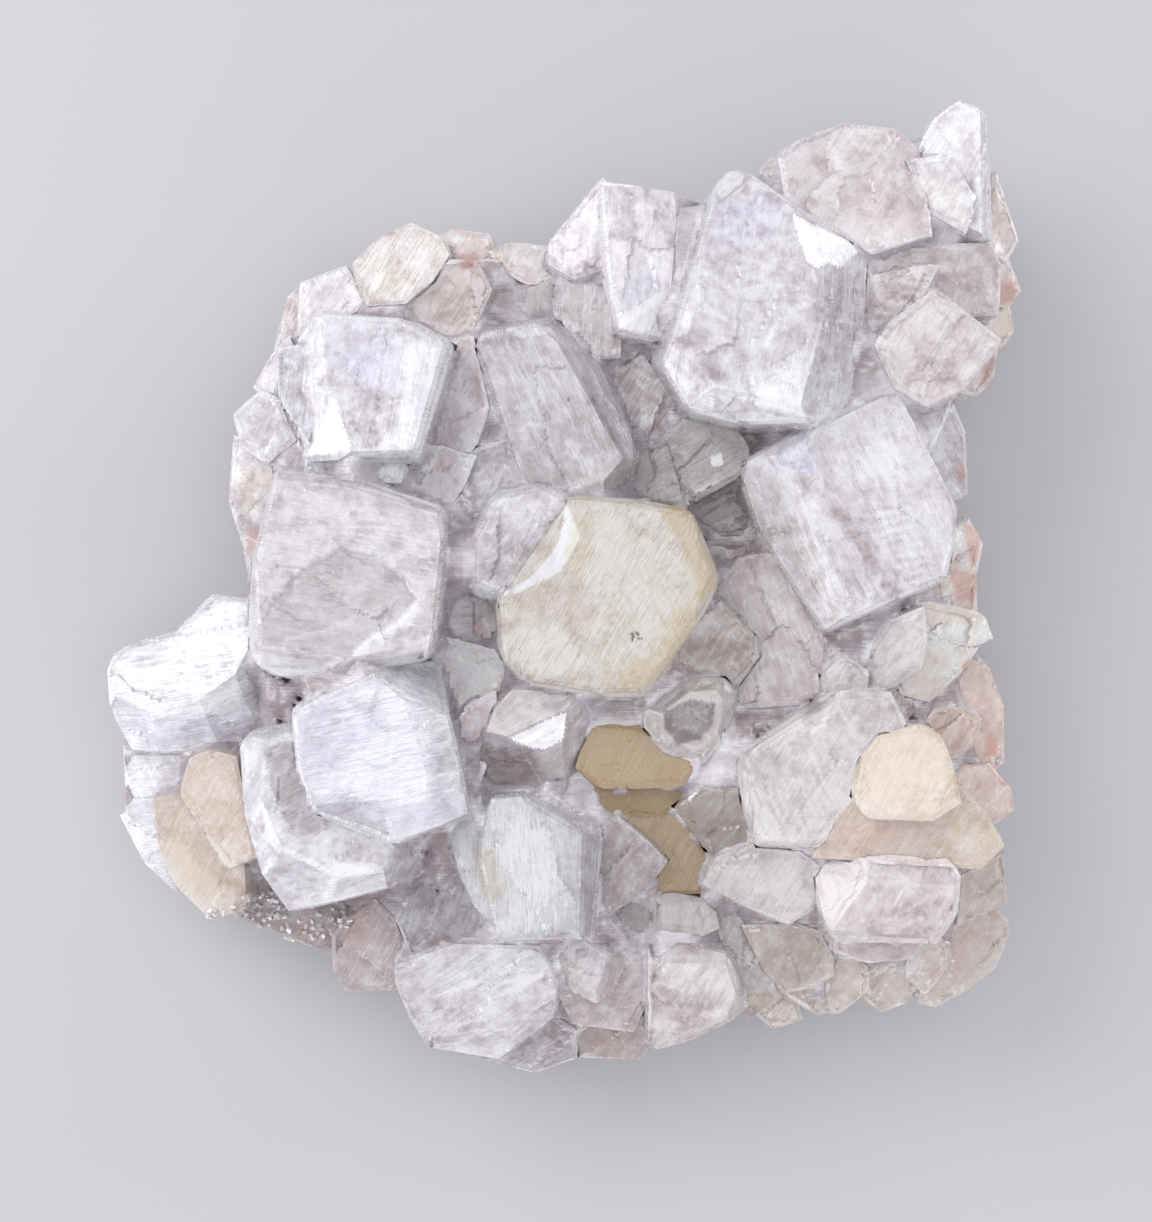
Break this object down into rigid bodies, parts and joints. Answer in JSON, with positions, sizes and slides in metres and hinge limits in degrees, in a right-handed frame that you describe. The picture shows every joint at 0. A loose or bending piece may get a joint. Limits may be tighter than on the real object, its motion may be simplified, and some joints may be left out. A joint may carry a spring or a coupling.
{
  "type": "apophyllite crystal cluster",
  "caption": "Hand specimen of apophyllite: block-shaped milky and clear crystals with a few stilbite sheaves on a thin pinkish matrix, cut flat underneath so that it lies on its back.",
  "frame": {"origin": "middle of the specimen's length and width, on the surface it lies on", "axes": "+Z up from that surface, out of the crystals' side; +Y towards the end with the tall tip crystal, the picture's top; +X to the right as one looks down with +Y up"},
  "size_m": [0.1146, 0.1212, 0.0414],
  "materials": {
    "milky_crystal": "glassy crystal faces, milky and translucent",
    "silky_crystal": "pearly, finely striated crystal faces",
    "grey_crystal": "glassy, striated, half clear",
    "clear_crystal": "glassy, nearly clear",
    "cream_crystal": "frosted, with fine wrinkles",
    "stilbite": "pearly to waxy, fibrous",
    "matrix": "rough, dull, with small crystals"
  },
  "bodies": {
    "root": {"upper_right_block": "milky_crystal", "centre_left_small_crystal": "milky_crystal", "cream_centre_crystal": "cream_crystal", "left_block": "milky_crystal", "striated_left_block": "silky_crystal", "upper_left_block": "milky_crystal", "right_block": "milky_crystal", "upper_middle_block": "milky_crystal", "right_stilbite_sheaf": "stilbite", "rounded_lower_right_crystal": "milky_crystal", "lower_right_block": "milky_crystal", "centre_bottom_block": "silky_crystal", "lower_centre_block": "grey_crystal", "centre_left_block": "grey_crystal", "pointed_grey_crystal": "grey_crystal", "dark_left_crystals": "grey_crystal", "dark_upper_left_crystal": "grey_crystal", "lower_left_block": "milky_crystal", "left_stilbite_sheaf": "stilbite", "far_left_crystal": "silky_crystal", "small_clear_crystal": "clear_crystal", "ringed_crystal": "clear_crystal", "lower_right_light_crystal": "milky_crystal", "veined_clear_crystal": "clear_crystal", "upper_centre_stilbite_sheaf": "stilbite", "dark_striated_crystal": "grey_crystal", "lower_centre_stilbite_sheaf": "stilbite", "right_centre_prisms": "grey_crystal", "fibrous_crystal": "grey_crystal", "striped_dark_crystal": "grey_crystal", "crevice_crystals": "grey_crystal", "bottom_left_block": "milky_crystal", "bottom_middle_crystals": "milky_crystal", "bright_striated_crystal": "silky_crystal", "purple_grey_crystal": "grey_crystal", "lower_left_edge_crystal": "grey_crystal", "lower_right_edge_crystals": "clear_crystal", "top_left_cream_crystal": "cream_crystal", "top_middle_crystals": "clear_crystal", "outer_left_crystals": "milky_crystal", "upper_right_tip_crystal": "milky_crystal", "upper_right_mass": "milky_crystal", "right_light_block": "milky_crystal", "dark_crevice_crystal": "grey_crystal", "right_edge_crystals": "clear_crystal", "right_lower_edge_crystals": "clear_crystal", "upper_right_edge_crystals": "clear_crystal", "matrix": "matrix"}
  },
  "joints": []
}
